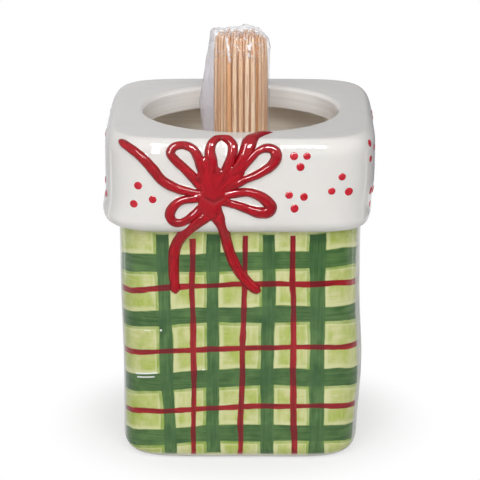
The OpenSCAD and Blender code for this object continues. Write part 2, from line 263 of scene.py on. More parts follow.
# %% [markdown]
# ## The box
#
# The box is a little narrower at the foot than at the seam. Its bottom edge is rounded,
# it stands on a ring, and the floor inside carries the bag. The section starts and ends
# on the middle line, where the spin closes it with a fan, and the doubles are merged.

# %% Section of the box
foot_edge_r, foot_recess, foot_ring_w = 2.9, 0.8, 4.5
floor_t, hollow_r = 4.5, 3.5


def box_half(z):
    return mixed(z / box_h, foot_half, seam_half)


ring_in_half = foot_half - foot_edge_r - foot_ring_w
floor_half = box_half(floor_t + hollow_r) - wall_t
box_rows = [(0, box_squareness, foot_recess),
            (ring_in_half - foot_recess, box_squareness, foot_recess),
            (ring_in_half, box_squareness, 0.08), (ring_in_half + 0.15, box_squareness, 0)]
box_rows += [(box_half(foot_edge_r) - foot_edge_r * (1 - math.sin(turn)), box_squareness,
              foot_edge_r * (1 - math.cos(turn))) for turn in quarter_turns(12)]
box_rows += [(box_half(z), box_squareness, z) for z in range(6, 42, 4)]
box_rows += [(box_half(z), box_squareness, z) for z in (box_h - 0.4, box_h - 0.08, box_h)]
box_rows += [(seam_half - wall_t, box_squareness, box_h)]
box_rows += [(floor_half - hollow_r * (1 - math.cos(turn)), box_squareness,
              floor_t + hollow_r * (1 - math.sin(turn))) for turn in quarter_turns(6)]
box_rows += [(0, box_squareness, floor_t)]

box_skin = squared_skin(box_rows, closed=False)
hand_made(box_skin, wall_wander, 13)
out_of_true(box_skin)
for point in box_skin.verts:
    point.co.z = max(point.co.z, 0)  # the foot's ring stays on the table
box_walls = finish_mesh(scaled(box_skin), "box_walls")
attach(box_walls, "holder")
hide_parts("box_shell")

# %% [markdown]
# ## Wrapping flat work round the skin
#
# The bow is trailed on with thick coloured slip, and it follows the band: up the front,
# over the top edge, and for the tails down round the underside on to the box. It is much
# easier to draw it flat. `x` runs across, `s` runs up the skin from the seam, and the
# third number stands out from it. `wrap` then lays all the points of a flat piece on the
# skin in one go, as a decal is laid on a pot.

# %% Place on the front skin
def edge_turn(s):
    """Turn on the edge's ellipse at the place s, found by walking along it."""
    steps, walked = 60, [0]
    for i in range(steps):
        turn = math.pi / 2 * (i + 0.5) / steps
        walked.append(walked[-1] + math.hypot(edge_rise * math.cos(turn),
                                              top_edge_r * math.sin(turn)))
    wanted = walked[-1] * min(1, max(0, (s - edge_s) / (edge_end - edge_s)))
    i = next((i for i in range(steps) if walked[i + 1] >= wanted), steps - 1)
    share = (wanted - walked[i]) / (walked[i + 1] - walked[i])
    return math.pi / 2 * (i + share) / steps


def skin_row(s):
    if s <= 0:
        return box_half(box_h + s), box_squareness, box_h + s
    if s < under_h:
        return under_row(math.pi / 2 * s / under_h, seam_half, lid_half)
    if s < edge_s:
        return lid_half, lid_squareness, box_h + s
    return edge_row(edge_turn(s))


def lean_at(s):
    if s <= 0:
        return -math.pi / 4 * max(0, 1 + s / under_h)
    if s < under_h:
        return -math.pi / 4 * (1 - s / under_h)
    if s < edge_s:
        return 0
    turn = edge_turn(s)
    return math.atan2(top_edge_r * math.sin(turn), edge_rise * math.cos(turn))


def bridged_row(s):
    """The skin with its corner at the seam filled, for thick slip that runs over it."""
    low, high = -2.4, 3.6
    if not low < s < high:
        return skin_row(s)
    share = (s - low) / (high - low)
    share = share * share * (3 - 2 * share)
    return (mixed(share, box_half(box_h + low), lid_half),
            mixed(share, box_squareness, lid_squareness), box_h + s)


def on_skin(x, s, lift):
    half, exponent, z = bridged_row(s) if lift > 0 else skin_row(s)
    across = min(abs(x) / half, 0.98)
    inward = (1 - across ** exponent) ** (1 / exponent)
    slope = (math.copysign(across ** (exponent - 1), x), inward ** (exponent - 1))
    out = lift * math.cos(lean_at(s)) / math.hypot(*slope)
    return Vector((x + out * slope[0],
                   -half * inward + max(0, s - edge_end) - out * slope[1],
                   z + lift * math.sin(lean_at(s))))


def wrap(flat):
    for point in flat.verts:
        point.co = on_skin(*point.co)
    bmesh.ops.recalc_face_normals(flat, faces=flat.faces)
    return flat


print("middle of the front:", [round(v, 2) for v in on_skin(0, lid_h / 2, 0)])

# %% [markdown]
# ## The lines of the bow
#
# Each loop, streamer and tail is one squeeze of slip: a round-backed line that swells and
# thins as the hand slows and hurries. A section is drawn across the route and extruded
# from place to place with `extrude_edge_only`, and every new section is moved and turned
# to stand square across the route. The UV map keeps how far along the line and how far
# across it a point lies, so that the paint can be darker at the edges and streaked along
# the stroke. Past the edge of the paint the section has a small fillet, where the clear
# glaze pools against the line.

# %% Helper that draws one line of slip
def smooth_route(rows, steps):
    """A smooth curve through all the rows of a route."""
    curve = []
    for i in range(len(rows) - 1):
        a, b = Vector(rows[max(i - 1, 0)]), Vector(rows[i])
        c, d = Vector(rows[i + 1]), Vector(rows[min(i + 2, len(rows) - 1)])
        for k in range(steps):
            t = k / steps
            curve.append((2 * b + (c - a) * t + (2 * a - 5 * b + 4 * c - d) * t * t
                          + (3 * b - 3 * c + d - a) * t ** 3) / 2)
    return curve + [Vector(rows[-1])]


half_section = [(1.85, -0.05), (1.55, 0), (1.32, 0.03), (1.16, 0.08), (1.05, 0.19),
                (0.97, 0.40), (0.88, 0.65), (0.75, 0.84), (0.56, 0.95), (0.30, 0.99)]
line_section = [(-off, lift) for off, lift in half_section] + [(0, 1)] + half_section[::-1]


def slip_line(route, width, height, is_loop, steps=8, seed=0):
    """Draws a line of slip along a route of x, s and width share, all in shares.
    It rises out of the knot at its start, and a loop sinks into it again at its end.
    The skirt of white glaze beside it is cut short on the painted box."""
    rows = [(x * lid_half, s * lid_h, share) for x, s, share in route]
    places = smooth_route(rows, steps)
    length = sum((Vector(b[:2]) - Vector(a[:2])).length for a, b in zip(places, places[1:]))
    flat = bmesh.new()
    paint = flat.loops.layers.uv.new("stroke")
    mark = flat.verts.layers.float_vector.new("mark")
    travelled = 0
    front = []
    for i, place in enumerate(places):
        ahead, behind = places[min(i + 1, len(places) - 1)], places[max(i - 1, 0)]
        along = Vector((ahead.x - behind.x, ahead.y - behind.y)).normalized()
        side = Vector((along.y, -along.x))
        if i:
            travelled += (Vector(place[:2]) - Vector(places[i - 1][:2])).length
        wobble = 1 + 0.07 * noise.noise(Vector((travelled * 0.7, seed * 7.3, 0)))
        reach = width / 2 * max(place.z, 0.02) * wobble
        free = min(travelled, length - travelled if is_loop else travelled) / 3.8
        rise = height * min(max(place.z, 0.02), 1) * wobble * min(1, 0.5 + 0.5 * free)
        if i == 0:
            points = [flat.verts.new() for _ in line_section]
            for a, b in zip(points, points[1:]):
                flat.edges.new((a, b))
        else:
            points = next_row(flat, front, lambda point: point[mark][1])
        for point, (off, lift) in zip(points, line_section):
            if place.y < under_h:
                off = max(-1.2, min(1.2, off))
            point.co = (place.x + side.x * reach * off, place.y + side.y * reach * off,
                        rise * lift if lift > 0 else height * lift)
            point[mark] = (travelled, off, min(place.z, 1))
        front = [flat.edges.get((a, b)) for a, b in zip(points, points[1:])]
    for face in flat.faces:
        for corner in face.loops:
            corner[paint].uv = (corner.vert[mark][0] * mm, corner.vert[mark][1])
    return wrap(flat)


# %% [markdown]
# ## Routes of the bow
#
# The routes were read from the photograph: a knot left of the middle, a fan of filled
# strokes above it, five loops, two short streamers and two long tails. `x` is a share of
# half the band's width, and `s` a share of its height. They run a little way into the
# knot, so that each line grows out of it.

# %% Loops, streamers and tails
line_w, line_h = 1.3, 0.62
tail_w, tail_h = 1.7, 0.72
routes = {
    "bow_loop_top_left": [
        (-0.21, 0.44, 0.8), (-0.275, 0.51, 1.1), (-0.33, 0.605, 1.15), (-0.40, 0.71, 1.1),
        (-0.46, 0.79, 1.05), (-0.497, 0.865, 1.05), (-0.47, 0.935, 1), (-0.41, 0.955, 1),
        (-0.352, 0.93, 1.05), (-0.318, 0.88, 1.1), (-0.294, 0.81, 1.15), (-0.275, 0.72, 1.2),
        (-0.24, 0.60, 1.1), (-0.205, 0.48, 0.8)],
    "bow_loop_top": [
        (-0.20, 0.46, 0.8), (-0.20, 0.60, 1.2), (-0.20, 0.76, 1.35), (-0.212, 0.87, 1.25),
        (-0.203, 0.96, 1.1), (-0.175, 1.02, 1), (-0.13, 1.05, 1), (-0.085, 1.025, 1.1),
        (-0.052, 0.965, 1.15), (-0.048, 0.89, 1.15), (-0.06, 0.81, 1.15), (-0.09, 0.71, 1.2),
        (-0.13, 0.59, 1.1), (-0.17, 0.48, 0.8)],
    "bow_loop_top_right": [
        (-0.11, 0.52, 0.8), (-0.03, 0.65, 1.1), (0.035, 0.75, 1.15), (0.09, 0.83, 0.95),
        (0.14, 0.895, 0.9), (0.195, 0.925, 1.1), (0.25, 0.90, 1.25), (0.265, 0.82, 1.25),
        (0.225, 0.73, 1.15), (0.135, 0.648, 1), (0.05, 0.595, 0.95), (-0.04, 0.535, 1.1),
        (-0.14, 0.46, 0.8)],
    "bow_loop_right": [
        (-0.16, 0.41, 0.8), (-0.065, 0.44, 1.1), (0.03, 0.458, 1.05), (0.09, 0.45, 1.05),
        (0.15, 0.415, 1.2), (0.20, 0.36, 1.35), (0.225, 0.30, 1.45), (0.20, 0.25, 1.45),
        (0.14, 0.245, 1.35), (0.07, 0.275, 1.15), (0, 0.312, 1), (-0.07, 0.34, 0.95),
        (-0.16, 0.36, 0.8)],
    "bow_loop_bottom_left": [
        (-0.21, 0.37, 0.8), (-0.27, 0.387, 0.95), (-0.34, 0.388, 1), (-0.423, 0.365, 1),
        (-0.48, 0.30, 1.1), (-0.505, 0.22, 1.15), (-0.49, 0.15, 1.15), (-0.445, 0.125, 1.1),
        (-0.388, 0.15, 1.05), (-0.322, 0.228, 1.05), (-0.27, 0.30, 1), (-0.22, 0.35, 0.8)],
    "bow_streamer_left": [
        (-0.20, 0.42, 0.8), (-0.27, 0.435, 0.95), (-0.35, 0.458, 1), (-0.46, 0.50, 1.1),
        (-0.56, 0.58, 1.2), (-0.63, 0.70, 1.2), (-0.71, 0.82, 1.15), (-0.79, 0.90, 1.1),
        (-0.85, 0.945, 0.9), (-0.875, 0.96, 0.2)],
    "bow_streamer_top": [
        (-0.14, 0.49, 0.8), (-0.07, 0.62, 1.2), (-0.015, 0.71, 1.4), (0.02, 0.79, 1.5),
        (0.047, 0.87, 1.6), (0.064, 0.95, 1.7), (0.09, 1.06, 1.65), (0.14, 1.17, 1.25),
        (0.20, 1.25, 0.65), (0.24, 1.295, 0.1)],
    "bow_tail_left": [
        (-0.195, 0.35, 0.8), (-0.21, 0.28, 1.15), (-0.238, 0.21, 1.3), (-0.29, 0.145, 1.15),
        (-0.365, 0.05, 1), (-0.43, -0.06, 1), (-0.475, -0.20, 1), (-0.483, -0.40, 0.97),
        (-0.478, -0.55, 0.92), (-0.472, -0.63, 0.85), (-0.468, -0.67, 0.2)],
    "bow_tail_right": [
        (-0.19, 0.35, 0.8), (-0.175, 0.28, 1.15), (-0.164, 0.20, 1.25), (-0.138, 0.12, 1.1),
        (-0.112, 0.02, 1), (-0.098, -0.08, 0.95), (-0.072, -0.22, 0.95), (-0.016, -0.40, 0.95),
        (0.064, -0.55, 0.95), (0.124, -0.622, 0.9), (0.154, -0.643, 0.3)],
}
bow_lines = []
for number, (name, route) in enumerate(routes.items()):
    is_tail = "tail" in name
    flat_line = slip_line(route, tail_w if is_tail else line_w,
                          tail_h if is_tail else line_h, "loop" in name, seed=number)
    line = finish_mesh(scaled(flat_line), name + "_slip")
    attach(line, "holder")
    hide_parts(name)
    bow_lines.append(line)

# %% [markdown]
# ## The knot and its fan
#
# Where the loops meet, the slip ran together and filled the space between them, so the
# knot is a low mound with a finger under each line. Its edge is a closed curve through
# listed points: one where each loop's opening ends, and the others hidden under the
# lines. A circle from `create_circle` takes that shape, and is then extruded inwards ring
# by ring, up to the middle. How high a point stands depends on how far it lies from the
# edge, which keeps the mound smooth although its edge is ragged. Below the middle the
# ribbon crosses itself: it bulges there, under a small fold shaped like a V.

# %% Knot
knot_h = 0.58
knot_middle = (-0.19, 0.42)
knot_edge = [
    (-0.358, 0.422), (-0.33, 0.448), (-0.282, 0.478), (-0.315, 0.575), (-0.335, 0.62),
    (-0.306, 0.65), (-0.292, 0.74), (-0.29, 0.80), (-0.255, 0.835), (-0.205, 0.83),
    (-0.185, 0.79), (-0.133, 0.70), (-0.082, 0.74), (-0.065, 0.77), (-0.053, 0.74),
    (0, 0.77), (0.03, 0.80), (0.061, 0.80), (0.055, 0.745), (0.026, 0.618),
    (0.02, 0.585), (-0.03, 0.54), (-0.097, 0.461), (-0.04, 0.452), (-0.05, 0.43),
    (-0.075, 0.402), (-0.05, 0.345), (-0.126, 0.317), (-0.145, 0.20), (-0.17, 0.17),
    (-0.199, 0.149), (-0.235, 0.19), (-0.262, 0.205), (-0.267, 0.215), (-0.31, 0.245),
    (-0.30, 0.354), (-0.345, 0.385)]
edge_steps = 5
rows = [(x, s, 0) for x, s in knot_edge]
looped = smooth_route(rows[-2:] + rows + rows[:3], edge_steps)
looped = looped[2 * edge_steps:(2 + len(rows)) * edge_steps]
outline = [Vector((place.x * lid_half, place.y * lid_h)) for place in looped]
middle = Vector((knot_middle[0] * lid_half, knot_middle[1] * lid_h))
knot_slope_w = 0.9
knot_top, bulge_h, bulge_r = Vector((-4.8, 5.0)), 0.24, 2.2
fold_x, fold_s, fold_slope = -4.45, 6.25, 0.5
fold_depth, fold_half, fold_reach = 0.13, 0.42, 1.9

flat_knot = bmesh.new()
paint = flat_knot.loops.layers.uv.new("stroke")
mark = flat_knot.verts.layers.float_vector.new("mark")
around = len(outline)
ring = bmesh.ops.create_circle(flat_knot, cap_ends=False, segments=around, radius=1)["verts"]
reaches = [1.05, 1.02, 1, 0.985, 0.96, 0.93, 0.89, 0.84, 0.77, 0.70]
reaches += [0.64 - 0.056 * i for i in range(11)]
for level, reach in enumerate(reaches):
    if level:
        ring = next_row(flat_knot, ring_edges(flat_knot, ring), lambda point: point[mark][2])
    for number, (point, place) in enumerate(zip(ring, outline)):
        spot = middle + (place - middle) * reach
        inside = min((spot - corner).length for corner in outline[::2]) if reach < 1 else 0
        rise = mixed(math.sqrt(1 - (1 - min(1, inside / knot_slope_w)) ** 2), 0.15, 1)
        bulge = bulge_h * math.exp(-((spot - knot_top).length / bulge_r) ** 2)
        from_fold = spot.y - fold_s - fold_slope * abs(spot.x - fold_x)
        bulge -= fold_depth * math.exp(-(from_fold / fold_half) ** 2
                                       - ((spot.x - fold_x) / fold_reach) ** 2)
        point.co = (spot.x, spot.y, (knot_h + bulge) * rise if reach <= 1 else 3 - 3 * reach)
        point[mark] = (0, reach, number)
bmesh.ops.contextual_create(flat_knot, geom=ring)
for face in flat_knot.faces:
    for corner in face.loops:
        reach, number = corner.vert[mark][1:]
        corner[paint].uv = (number / around * 0.03, reach ** 4)
knot = finish_mesh(scaled(wrap(flat_knot)), "bow_knot_slip")
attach(knot, "holder")
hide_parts("bow_knot")

# %% [markdown]
# ## Dots
#
# Red dots lie on the band in threes, each a touch of thick paint that has drawn itself
# into a low dome. A sphere is cut in half with `bisect_plane`, pressed flat and laid on
# the skin. The dots of one side of the band are one piece, turned round to that side.

# %% Dots in threes
dot_r, dot_rise = 0.69, 0.15
dot_threes = {
    "front_dots": [(0.44, 0.80, 0.054, 180), (0.41, 0.375, 0.063, 187),
                   (0.735, 0.505, 0.073, 6), (-0.71, 0.40, 0.083, -17)],
    "right_dots": [(-0.675, 0.31, 0.07, -50), (-0.73, 0.81, 0.07, -30),
                   (-0.18, 0.53, 0.08, -12), (0.22, 0.80, 0.06, 170),
                   (0.30, 0.34, 0.07, 8), (0.72, 0.60, 0.075, 190)],
    "back_dots": [(0.68, 0.72, 0.07, 185), (0.60, 0.30, 0.075, 12),
                  (0.16, 0.56, 0.08, 170), (-0.20, 0.82, 0.06, -10),
                  (-0.28, 0.32, 0.07, 178), (-0.70, 0.50, 0.08, 6)],
    "left_dots": [(0.60, 0.33, 0.07, 100), (0.30, 0.78, 0.06, 176),
                  (0.02, 0.42, 0.08, 10), (-0.30, 0.77, 0.065, 188),
                  (-0.42, 0.33, 0.07, -5), (-0.75, 0.58, 0.075, 172)],
}
dot_pieces = []
for face_number, (name, threes) in enumerate(dot_threes.items()):
    chance = random.Random(20 + face_number)
    dots = bmesh.new()
    for x, s, spread, turn in threes:
        for k in range(3):
            angle = math.radians(turn + 120 * k)
            middle_x = (x + spread * math.sin(angle)) * lid_half
            middle_s = s * lid_h + spread * math.cos(angle) * lid_half
            size = dot_r * chance.uniform(0.94, 1.06)
            made = bmesh.ops.create_uvsphere(dots, u_segments=28, v_segments=16, radius=1)
            bmesh.ops.scale(dots, verts=made["verts"],
                            vec=(size, size * chance.uniform(0.94, 1.06), dot_rise))
            bmesh.ops.translate(dots, verts=made["verts"], vec=(middle_x, middle_s, 0))
    bmesh.ops.bisect_plane(dots, geom=dots.verts[:] + dots.edges[:] + dots.faces[:],
                           plane_co=(0, 0, -0.05), plane_no=(0, 0, 1), clear_inner=True)
    wrap(dots)
    bmesh.ops.rotate(dots, verts=dots.verts, cent=(0, 0, 0),
                     matrix=Matrix.Rotation(math.pi / 2 * face_number, 3, "Z"))
    out_of_true(dots)
    piece = finish_mesh(scaled(dots), name + "_paint")
    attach(piece, "holder")
    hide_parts(name)
    dot_pieces.append(piece)

# %% [markdown]
# ## Toothpicks
#
# Birch toothpicks are round, taper at both ends, and never lie quite straight in the
# pack. One pick is a spun section with twelve sides. Each row of the bundle is one
# piece, and each pick in it gets its own thickness, bend, height and shade of wood, which
# the material reads from a colour attribute. The tips are uneven, and those at the right
# end of the bundle stand a little lower than the rest.

# %% Rows of toothpicks
pick_r, pick_l = 0.525, 65
pick_step = 1.10
row_step = pick_step * math.sin(math.radians(60))
bundle_r = 4.45
bundle_y = 6
pick_z = 6.65
uneven, rest_higher, right_end_x = 0.6, 0.35, 3
half_profile = [(0, 0), (0.20, 0), (0.25, 0.12), (0.42, 2.4), (0.49, 3.8), (pick_r, 5.2)]
profile = half_profile + [(pick_r, pick_l / 2)]
profile += [(r, pick_l - z) for r, z in half_profile[::-1]]
pick_rows = []
for row_number in range(9):
    row = row_number - 4
    chance = random.Random(40 + row_number)
    y = row * row_step
    aside = abs(row) % 2 / 2
    reach = math.sqrt(bundle_r ** 2 - y ** 2)
    right = math.floor(reach / pick_step - aside)
    picks = bmesh.new()
    tone = picks.verts.layers.float_color.new("tone")
    count = round(2 * right + 2 * aside) + 1
    for k in range(count):
        i = -right - 2 * aside + k
        before = set(picks.verts)
        chain = [picks.verts.new((r, 0, z)) for r, z in profile]
        links = [picks.edges.new(pair) for pair in zip(chain, chain[1:])]
        bmesh.ops.spin(picks, geom=chain + links, cent=(0, 0, 0), axis=(0, 0, 1),
                       angle=2 * math.pi, steps=12, use_merge=True)
        mine = [point for point in picks.verts if point not in before]
        thick = chance.uniform(0.86, 0.98)
        ride = abs(math.sin(math.radians(137 * i + 89 * row))) * uneven
        ride += rest_higher * (i * pick_step < right_end_x)
        shade = (chance.random(), chance.random(), chance.random(), 1)
        bmesh.ops.scale(picks, verts=mine, vec=(thick, thick, 1))
        bend = chance.uniform(-0.10, 0.10)
        shift = chance.uniform(-0.05, 0.05)
        place = Vector(((i + aside) * pick_step + shift, bundle_y + y, pick_z + ride))
        for point in mine:
            point[tone] = shade
            bow = math.sin(math.pi * point.co.z / pick_l)
            point.co += place + Vector((bend * bow, 0.04 * bow, 0))
    bmesh.ops.remove_doubles(picks, verts=picks.verts, dist=0.0002)
    bmesh.ops.recalc_face_normals(picks, faces=picks.faces)
    piece = finish_mesh(scaled(picks), f"picks_row_{row_number + 1}")
    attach(piece, "toothpick_pack")
    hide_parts(f"toothpick_row_{row_number + 1}")
    pick_rows.append(piece)

# %% [markdown]
# ## The clear bag
#
# The picks come sealed in a sleeve of thin clear film. It hugs the bundle, stands out on
# the left in a flat pleat where it is welded, and is crumpled at the top. It is lofted: a
# ring of points is extruded upwards, each level is pushed to its own outline, and the top
# is drawn together and closed. Creases are small folds in the outline that run up the
# bag, and turn into sharper crumples at the top.

# %% Film bag
film_around = 144
film_z0, film_top = 4.75, 72.9
film_r = 5.18
pleat_z, pleat_w, pleat_foot_w = 60, 2.5, 1.9


def film_reach(angle, z):
    """How far the film stands from the middle of the bundle."""
    def rough(round_scale, up_scale):
        return noise.noise(Vector((math.cos(angle) * round_scale,
                                   math.sin(angle) * round_scale, z * up_scale)))

    # The pleat is widest near the mouth, and narrows to the gathered top and the foot.
    pleat_angle = math.atan2(math.sin(angle - math.pi), math.cos(angle - math.pi))
    low = min(1, max(0, (73 - z) / 13))
    pleat = (mixed(low, 0.15, pleat_w) if z > pleat_z
             else mixed((pleat_z - z) / 5, pleat_w, pleat_foot_w))
    pleat = max(pleat, 1.7) if z < 57 else pleat
    reach = film_r + pleat * math.exp(-(pleat_angle / 0.40) ** 2)
    # Folds run up the bag, crumples come near the top, and one crease leans across it.
    fold, crumple, sharp = rough(2.3, 0.045), rough(5, 0.45), rough(9, 0.9)
    near_top = max(0, (z - 65) / 7)
    crease_angle = angle - math.radians(241 + 1.2 * (z - 70))
    crease = 0.30 * near_top * math.exp(-(crease_angle / 0.07) ** 2)
    return (reach + 0.14 * abs(fold) + (0.05 + 0.25 * near_top) * crumple
            + 0.22 * near_top * (0.5 - abs(sharp)) + crease)


film = bmesh.new()
turn_mark = film.verts.layers.float.new("turn")
ring = bmesh.ops.create_circle(film, cap_ends=False, segments=film_around, radius=1)["verts"]
for number, point in enumerate(ring):
    point[turn_mark] = number
levels = [(film_z0, 0.05), (film_z0, 0.5), (film_z0 + 0.15, 0.85), (film_z0 + 0.9, 0.98)]
levels += [(z, 1) for z in range(8, 58, 4)]
levels += [(58 + 0.8 * i, 1) for i in range(17)]
levels += [(film_top - down, share) for down, share in [
    (2.1, 1), (1.5, 0.998), (1.0, 0.99), (0.6, 0.98), (0.3, 0.96), (0.1, 0.92), (0, 0.86),
    (0, 0.76), (0, 0.64), (0, 0.50), (0, 0.36), (0, 0.24), (0.05, 0.10), (0.1, 0.03)]]
for level, (z, share) in enumerate(levels):
    if level:
        ring = next_row(film, ring_edges(film, ring), lambda point: point[turn_mark])
    for number, point in enumerate(ring):
        angle = 2 * math.pi * number / film_around
        reach = film_reach(angle, min(z, film_top - 1.5)) * share
        x, y = reach * math.cos(angle), reach * math.sin(angle)
        top = max(0, (z - film_top + 2.5) / 2.5)
        # The top has a hump right of the middle, falls at the right end and rises at
        # the left one, and is crumpled all over.
        hump = 0.48 * math.exp(-((x - 1.2) / 1.1) ** 2) - 0.75 * max(0, x - 3.2)
        hump += 0.30 * max(0, -x - 3.2)
        lift = top * (0.22 * noise.noise(Vector((x * 0.8, y * 0.8, 9)))
                      + 0.26 * noise.noise(Vector((x * 2.1, y * 2.1, 4))) - 0.05 + hump)
        point.co = (x, bundle_y + y, min(z + lift, film_top + 0.5))
bmesh.ops.holes_fill(film, edges=film.edges, sides=film_around)
bmesh.ops.recalc_face_normals(film, faces=film.faces)
film_sleeve = finish_mesh(scaled(film), "film_sleeve")
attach(film_sleeve, "toothpick_pack")
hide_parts("film_bag")
film_sleeve.visible_shadow = False

# %% [markdown]
# ## Building materials
#
# A material is a small program of nodes. These helpers add one node, join it to the
# ones before it, and hand back its result. Results can be written in a sum: `a * b + 1`
# adds two Math nodes. A mask is a result that runs from 0 to 1. `a * b` is what both masks
# cover, and `a | b`, the larger of the two, is what either covers.

# %% Helpers for nodes
def colour(red, green, blue):
    """A colour as it looks on screen, 0 to 255, turned into the light that Blender uses."""
    parts = [part / 255 for part in (red, green, blue)]
    return tuple(((p + 0.055) / 1.055) ** 2.4 if p > 0.04045 else p / 12.92
                 for p in parts) + (1,)


class Result:
    """What a node puts out. Sums with it add Math nodes to its tree."""

    def __init__(self, node, output=0):
        self.socket = node.outputs[output]
        self.tree = node.id_data

    def math(self, operation, *values):
        return Result(add(self.tree, "Math", self, *values, operation=operation))

    def __add__(self, other):
        return self.math("ADD", other)

    def __sub__(self, other):
        return self.math("SUBTRACT", other)

    def __mul__(self, other):
        return self.math("MULTIPLY", other)

    def __truediv__(self, other):
        return self.math("DIVIDE", other)

    def __pow__(self, other):
        return self.math("POWER", other)

    def __or__(self, other):
        return self.math("MAXIMUM", other)

    def __gt__(self, other):
        return self.math("GREATER_THAN", other)

    def __abs__(self):
        return self.math("ABSOLUTE")


def join(socket, value):
    """Gives an input a number, a colour or the result of another node."""
    if isinstance(value, Result):
        value.tree.links.new(value.socket, socket)
    else:
        socket.default_value = value


def add(tree, kind, *values, **settings):
    """Adds a node, sets it up and joins its inputs in their order."""
    node = tree.nodes.new("ShaderNode" + kind)
    for name, setting in settings.items():
        setattr(node, name, setting)
    for socket, value in zip(node.inputs, values):
        join(socket, value)
    return node


def fill(node, **values):
    """Joins the inputs of a node by their names, with _ in the place of a space."""
    for label, value in values.items():
        join(node.inputs[label.replace("_", " ")], value)
    return node


# %% Helpers for patterns
def split(vector, kind="SeparateXYZ"):
    """The three parts of a place or of a colour."""
    node = add(vector.tree, kind, vector)
    return [Result(node, part) for part in range(3)]


def blend_colours(share, low, high):
    node = add(share.tree, "Mix", data_type="RGBA")
    for number, value in ((0, share), (6, low), (7, high)):
        join(node.inputs[number], value)
    return Result(node, 2)


def mix_values(share, low, high):
    node = add(share.tree, "Mix")
    for number, value in ((0, share), (2, low), (3, high)):
        join(node.inputs[number], value)
    return Result(node)


def stretched(position, x, y, z):
    """A place with its parts multiplied, so that what is drawn there is stretched."""
    return Result(add(position.tree, "VectorMath", position, (x, y, z), operation="MULTIPLY"))


def distance(position, x, y, z):
    """How far a place lies from a point."""
    node = add(position.tree, "VectorMath", position, (x, y, z), operation="DISTANCE")
    return Result(node, "Value")


def cloud(position, scale, detail, seed, roughness=0.5):
    """Soft noise between 0 and 1."""
    node = add(position.tree, "TexNoise", noise_dimensions="4D")
    fill(node, Vector=position, W=seed, Scale=scale, Detail=detail, Roughness=roughness)
    return Result(node, "Fac")


def between(value, low, high):
    """0 below low, 1 above high, with a soft step. It falls if low is the larger."""
    return Result(add(value.tree, "MapRange", value, low, high,
                      interpolation_type="SMOOTHSTEP"))


def bump(height, depth):
    """The normal of a surface whose height, from 0 to 1, is worth so many metres."""
    return Result(fill(add(height.tree, "Bump"), Height=height, Distance=depth))


def rays(tree, *kinds):
    """1 for the kinds of ray that are named, and 0 for all others."""
    light_path = add(tree, "LightPath")
    named = [Result(light_path, f"Is {kind} Ray") for kind in kinds]
    seen = named[0]
    for kind in named[1:]:
        seen = seen | kind
    return seen


# %% Helpers for groups and materials
def new_group(name, inputs, outputs):
    """A group of nodes. All its sockets are numbers, apart from one called Position."""
    group = bpy.data.node_groups.new(name, "ShaderNodeTree")
    for way, labels in (("INPUT", inputs), ("OUTPUT", outputs)):
        for label in labels:
            kind = "Vector" if label == "Position" else "Float"
            group.interface.new_socket(label, in_out=way, socket_type="NodeSocket" + kind)
    into = group.nodes.new("NodeGroupInput")
    print("group:", name)
    return group, [Result(into, label) for label in inputs], group.nodes.new("NodeGroupOutput")


def use_group(tree, group, **values):
    return fill(add(tree, "Group", node_tree=group), **values)


def new_material(name):
    """A material, its tree, its shader, and the place on the object in millimetres."""
    material = bpy.data.materials.new(name)
    material.use_nodes = True
    tree = material.node_tree
    metres = Result(add(tree, "TexCoord"), "Object")
    print("material:", name)
    return (material, tree, tree.nodes["Principled BSDF"],
            stretched(metres, 1 / mm, 1 / mm, 1 / mm))


# %% [markdown]
# ## Glaze
#
# Everything ceramic here lies under the same clear glaze: glassy, never quite flat, with
# a faint orange-peel ripple and a few pinholes. That ripple is a group, because four
# materials use it. It puts out a height, and each material feeds it to its own bump.

# %% Group for the glaze's surface
glaze_skin, into, out = new_group("glaze skin", ["Position", "Ripple", "Pinholes"],
                                  ["Height", "Roughness"])
place, ripple, pinholes = into
waves = cloud(place, 1.4, 2, 2) * 0.12 + cloud(place, 0.22, 2, 1)
cells = fill(add(glaze_skin, "TexVoronoi"), Vector=place, Scale=0.16)
hole = between(Result(cells, "Distance"), 0.03, 0.0)
fill(out, Height=waves * ripple - hole * pinholes,
     Roughness=cloud(place, 0.5, 3, 5) * 0.05 + 0.045)


def glazed(shader, position, ripple, pinholes):
    """Gives a material the glaze's surface: ripple and pinholes in millimetres."""
    surface = use_group(position.tree, glaze_skin, Position=position, Ripple=ripple,
                        Pinholes=pinholes)
    fill(shader, Normal=bump(Result(surface, "Height"), mm),
         Roughness=Result(surface, "Roughness"), IOR=1.52)


# %% [markdown]
# ## White glaze of the lid band
#
# The white is warm and a touch grey, and it shows faint lines where the mould was turned.
# Inside the mouth and the hollow it is creamier, and painted lighter than outside: painted
# light, for the light that the narrow mouth keeps out.

# %% White glaze
white_glaze, tree, shader, position = new_material("white_glaze")
x, y, z = split(position)
blotch = cloud(position, 0.09, 3, 3)
outside_colour = blend_colours(blotch, colour(221, 218, 214), colour(229, 226, 222))
lines = between(cloud(stretched(position, 0.03, 0.03, 2.4), 1, 3, 8), 0.3, 0.7)
# Painted light: the mouth and the hollow get a lighter white than the outside.
mouth_colour = blend_colours(lines, colour(242, 240, 237), colour(252, 251, 250))
cavity_colour = blend_colours(lines, colour(246, 238, 224), colour(252, 249, 240))
lightened_inside_colour = blend_colours(between(z, 56.2, 55.4), mouth_colour, cavity_colour)
radius = distance(stretched(position, 1, 1, 0), 0, 0, 0)
in_mouth = between(radius, 18.6, 17.9) * between(z, 60.1, 59.7)
squared = abs(x / 22) ** lid_squareness + abs(y / 22) ** lid_squareness
in_hollow = between(z, 55.9, 55.5) * between(squared, 1.1, 0.9)
fill(shader, Base_Color=blend_colours(in_mouth | in_hollow, outside_colour, lightened_inside_colour))
glazed(shader, position, ripple=0.05, pinholes=0.03)
lid_band.data.materials.append(white_glaze)
